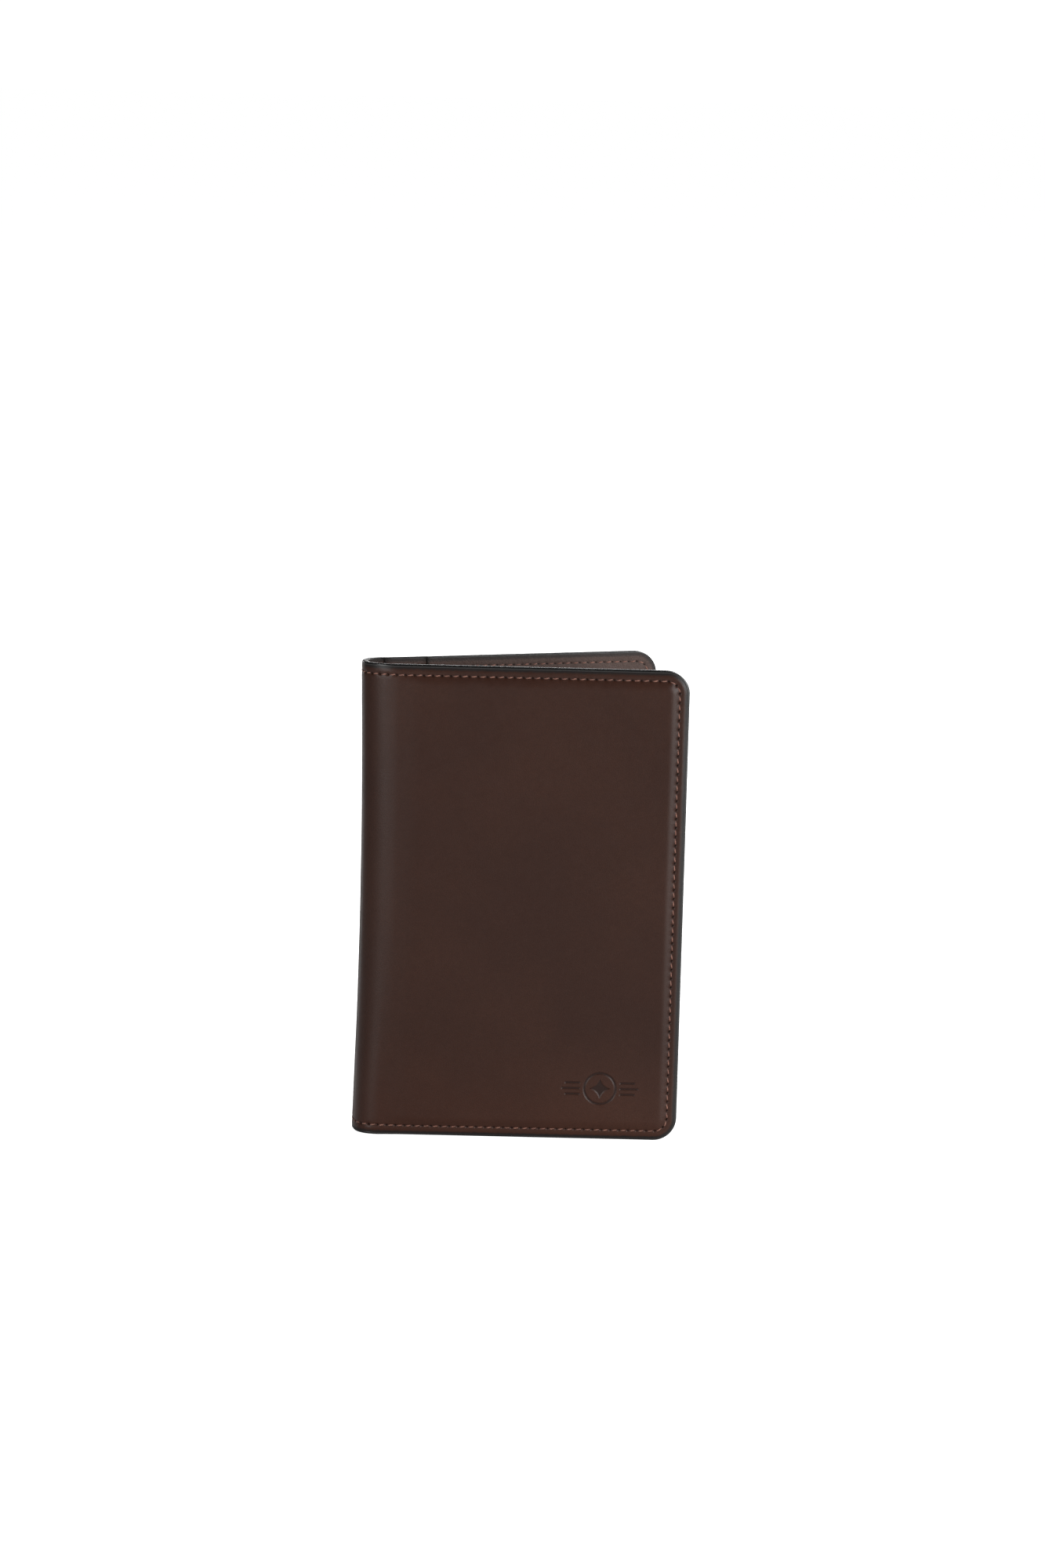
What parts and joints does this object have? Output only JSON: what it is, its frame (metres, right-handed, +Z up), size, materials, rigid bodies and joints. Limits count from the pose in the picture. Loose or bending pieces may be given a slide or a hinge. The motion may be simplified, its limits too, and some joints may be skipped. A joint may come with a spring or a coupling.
{
  "type": "passport holder",
  "caption": "Bifold padded leather passport holder standing half open, with stitched edges, a passport sleeve and stepped card pockets.",
  "frame": {"origin": "centre of the overall box at the level of the surface the holder stands on", "axes": "+Z up along the covers' height, +X from the spine towards the opening, -Y towards the front cover"},
  "size_m": [0.0938, 0.0494, 0.14],
  "materials": {
    "outer_leather": "smooth semi-matt dark brown leather, fine grain",
    "lining_leather": "matt brown leather, fine grain",
    "pocket_leather": "matt brown leather, fine grain",
    "seam_thread": "waxed two-ply polyester thread",
    "board": "grey board",
    "foam": "thin white padding foam"
  },
  "bodies": {
    "spine": {"spine_leather": "outer_leather", "spine_stiffener": "board", "spine_lining": "lining_leather", "spine_bottom_seam_thread": "seam_thread", "spine_top_seam_thread": "seam_thread"},
    "front_cover": {"front_cover_leather": "outer_leather", "front_foam_pad": "foam", "front_stiffener_board": "board", "front_lining": "lining_leather", "front_seam_thread": "seam_thread", "front_slip_pocket": "pocket_leather", "front_card_pocket_upper": "pocket_leather", "front_card_pocket_middle": "pocket_leather", "front_card_pocket_lower": "pocket_leather", "card_pocket_seam_thread": "seam_thread"},
    "back_cover": {"back_cover_leather": "outer_leather", "back_foam_pad": "foam", "back_stiffener_board": "board", "back_lining": "lining_leather", "back_seam_thread": "seam_thread", "back_document_pocket": "pocket_leather", "back_passport_sleeve": "pocket_leather"}
  },
  "joints": [
    {"name": "front_fold", "type": "hinge", "parent": "spine", "child": "front_cover", "pos_m": [-0.04535, -0.00605, 0], "axis": [0, 0, -1], "range_deg": [-10.7, 79.3]},
    {"name": "back_fold", "type": "hinge", "parent": "spine", "child": "back_cover", "pos_m": [-0.04535, 0.00605, 0], "axis": [0, 0, 1], "range_deg": [-10.7, 79.3]}
  ]
}
